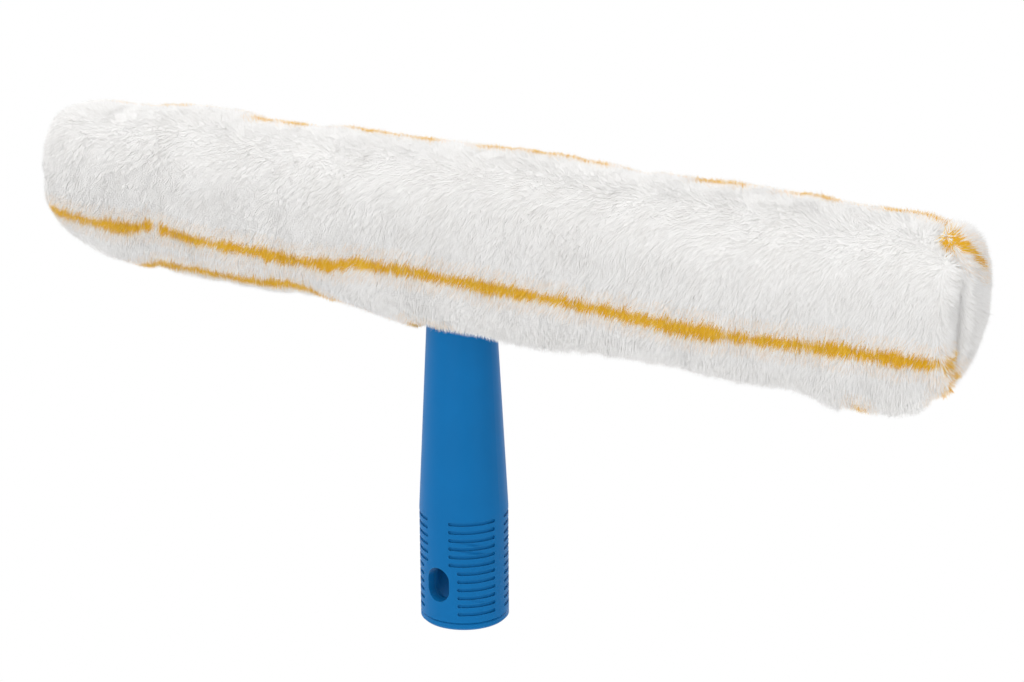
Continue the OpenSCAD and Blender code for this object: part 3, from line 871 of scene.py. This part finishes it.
def ground_material(name, colour):
    """The cloth below the pile, in soft patches of two near tones."""
    material, tree, shader = blank_material(name, 0.95, 0.1)
    grain = group_node(tree, fine_grain_group, {"Size": 0.6 * MM, "Patch": 5 * MM})
    tree.links.new(mixed(tree, grain.outputs["Tone"], tint(colour, 0.96), tint(colour, 1.04)),
                   shader.inputs["Base Color"])
    bump(tree, shader, grain.outputs["Height"], 0.1 * MM, 0.4)
    return material


def dress(material, *nodes):
    """Gives CAD nodes a finish without touching their meshes' shape."""
    for node in nodes:
        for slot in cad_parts[node].material_slots:
            slot.link = "OBJECT"
            slot.material = material


class SCRUBBER_OT_handle(bpy.types.Operator):
    """Finish the moulded T-bar and its screw"""

    bl_idname = "scrubber.handle"
    bl_label = "T-Bar Finish"

    def execute(self, context):
        dress(plastic_material(), "handle_grip", "pole_socket", "crossbar")
        dress(steel_material(), "hub_screw", "hub_washer")
        return {"FINISHED"}


class SCRUBBER_OT_trim(bpy.types.Operator):
    """Finish the tapes, the closure and the stitches"""

    bl_idname = "scrubber.trim"
    bl_label = "Tapes and Thread"

    def execute(self, context):
        values = context.scene.scrubber_trim
        dress(woven_material("binding_tape", values.tape, values.weave, 0.15 * MM),
              "slit_binding", "end_seam")
        dress(woven_material("closure_loops", values.closure, values.loops, 0.3 * MM, 0.9),
              "loop_strip", "hook_strip")
        dress(woven_material("sewing_thread", values.thread, values.weave / 3, 0.05 * MM),
              "sleeve_stitching", "flap_stitching")
        return {"FINISHED"}


class SCRUBBER_OT_stage(bpy.types.Operator):
    """Set up the floor, the lamps, the even light and the camera"""

    bl_idname = "scrubber.stage"
    bl_label = "Stage"

    def execute(self, context):
        stage = context.scene.scrubber_stage
        context.scene.view_settings.view_transform = "Standard"
        camera_data = bpy.data.cameras.new("camera")
        camera = bpy.data.objects.new("camera", camera_data)
        context.scene.collection.objects.link(camera)
        camera_data.lens = stage.lens
        camera_data.sensor_width = 36
        eye, target = Vector(stage.eye), Vector(stage.target)
        camera.matrix_world = (
            looking(eye, target) @ Matrix.Rotation(stage.roll, 4, "Z"))
        context.scene.camera = camera

        deselect()
        bpy.ops.mesh.primitive_plane_add(size=8, location=(0, 0, -stage.floor_drop))
        floor = context.active_object
        floor.name = "floor"
        floor.data.materials.append(floor_material())
        for name, place, size, power in (
            ("top", (-0.3, -0.4, 2.1), 1.6, stage.top_power),
            ("front", (0.3, -1.9, 0.3), 1.6, stage.front_power),
            ("back", (-0.3, 1.9, 0.5), 1.6, stage.back_power),
            ("left", (-1.9, -0.3, 0.5), 1.4, stage.left_power),
            ("right", (1.9, -0.5, 0.4), 1.4, stage.right_power),
        ):
            data = bpy.data.lights.new(name, "AREA")
            data.size = size
            data.energy = power
            lamp = bpy.data.objects.new(name, data)
            context.scene.collection.objects.link(lamp)
            lamp.matrix_world = looking(Vector(place), Vector((0, 0, 0.11)))
        light_world(context.scene, stage.world_level)
        return {"FINISHED"}


def looking(place, at):
    """Where a camera or a lamp stands and how it is turned, to look at one point."""
    turn = (at - place).to_track_quat("-Z", "Y").to_matrix().to_4x4()
    return Matrix.Translation(place) @ turn


def seen_directly(tree):
    """1 for the camera, for reflections and through glass, and 0 for all other light."""
    path = add_node(tree, "ShaderNodeLightPath").outputs
    seen = add_node(tree, "ShaderNodeMath",
                    {0: path["Is Camera Ray"], 1: path["Is Glossy Ray"]}, operation="MAXIMUM")
    return add_node(tree, "ShaderNodeMath",
                    {0: seen.outputs[0], 1: path["Is Transmission Ray"]},
                    operation="MAXIMUM").outputs[0]


def light_world(scene, level):
    """Even light from all round, which the camera and the gloss see as white."""
    world = bpy.data.worlds.new("even_light")
    scene.world = world
    world.use_nodes = True
    tree = world.node_tree
    plain = tree.nodes["Background"]
    plain.inputs["Strength"].default_value = level
    plain.inputs["Color"].default_value = (1, 1, 1, 1)
    white = add_node(tree, "ShaderNodeBackground", {"Color": (1, 1, 1, 1)})
    mix = add_node(tree, "ShaderNodeMixShader",
                   {0: seen_directly(tree), 1: plain.outputs[0], 2: white.outputs[0]})
    tree.links.new(mix.outputs[0], tree.nodes["World Output"].inputs["Surface"])


def floor_material():
    """A pale floor that the camera and the gloss see as white."""
    material, tree, shader = blank_material("pale_floor", 0.9)
    shader.inputs["Base Color"].default_value = (0.9, 0.9, 0.9, 1)
    glow = add_node(tree, "ShaderNodeEmission", {"Color": (1, 1, 1, 1)})
    mix = add_node(tree, "ShaderNodeMixShader",
                   {0: seen_directly(tree), 1: shader.outputs[0], 2: glow.outputs[0]})
    tree.links.new(mix.outputs[0], tree.nodes["Material Output"].inputs["Surface"])
    return material


class SCRUBBER_PT_panel(bpy.types.Panel):
    """The scrubber's steps, in the order in which they are built"""

    bl_idname = "SCRUBBER_PT_panel"
    bl_label = "Window Scrubber"
    bl_space_type = "VIEW_3D"
    bl_region_type = "UI"
    bl_category = "Scrubber"

    def draw(self, context):
        for step in STEPS:
            self.layout.operator(step.bl_idname)


STEPS = (SCRUBBER_OT_stage, SCRUBBER_OT_handle, SCRUBBER_OT_trim, SCRUBBER_OT_sleeve,
         SCRUBBER_OT_flap, SCRUBBER_OT_hinge)
GROUPS = {
    "scrubber_plush": ScrubberPlush,
    "scrubber_plastic": ScrubberPlastic,
    "scrubber_trim": ScrubberTrim,
    "scrubber_stage": ScrubberStage,
}


def register():
    for kind in (*GROUPS.values(), *STEPS, SCRUBBER_PT_panel):
        bpy.utils.register_class(kind)
    for name, kind in GROUPS.items():
        setattr(bpy.types.Scene, name, PointerProperty(type=kind))


def unregister():
    for name in GROUPS:
        delattr(bpy.types.Scene, name)
    for kind in reversed((*GROUPS.values(), *STEPS, SCRUBBER_PT_panel)):
        bpy.utils.unregister_class(kind)


def main():
    register()
    bpy.ops.scrubber.stage()
    bpy.ops.scrubber.handle()
    bpy.ops.scrubber.trim()
    bpy.ops.scrubber.sleeve()
    bpy.ops.scrubber.flap()
    bpy.ops.scrubber.hinge()


if __name__ == "__main__":
    main()
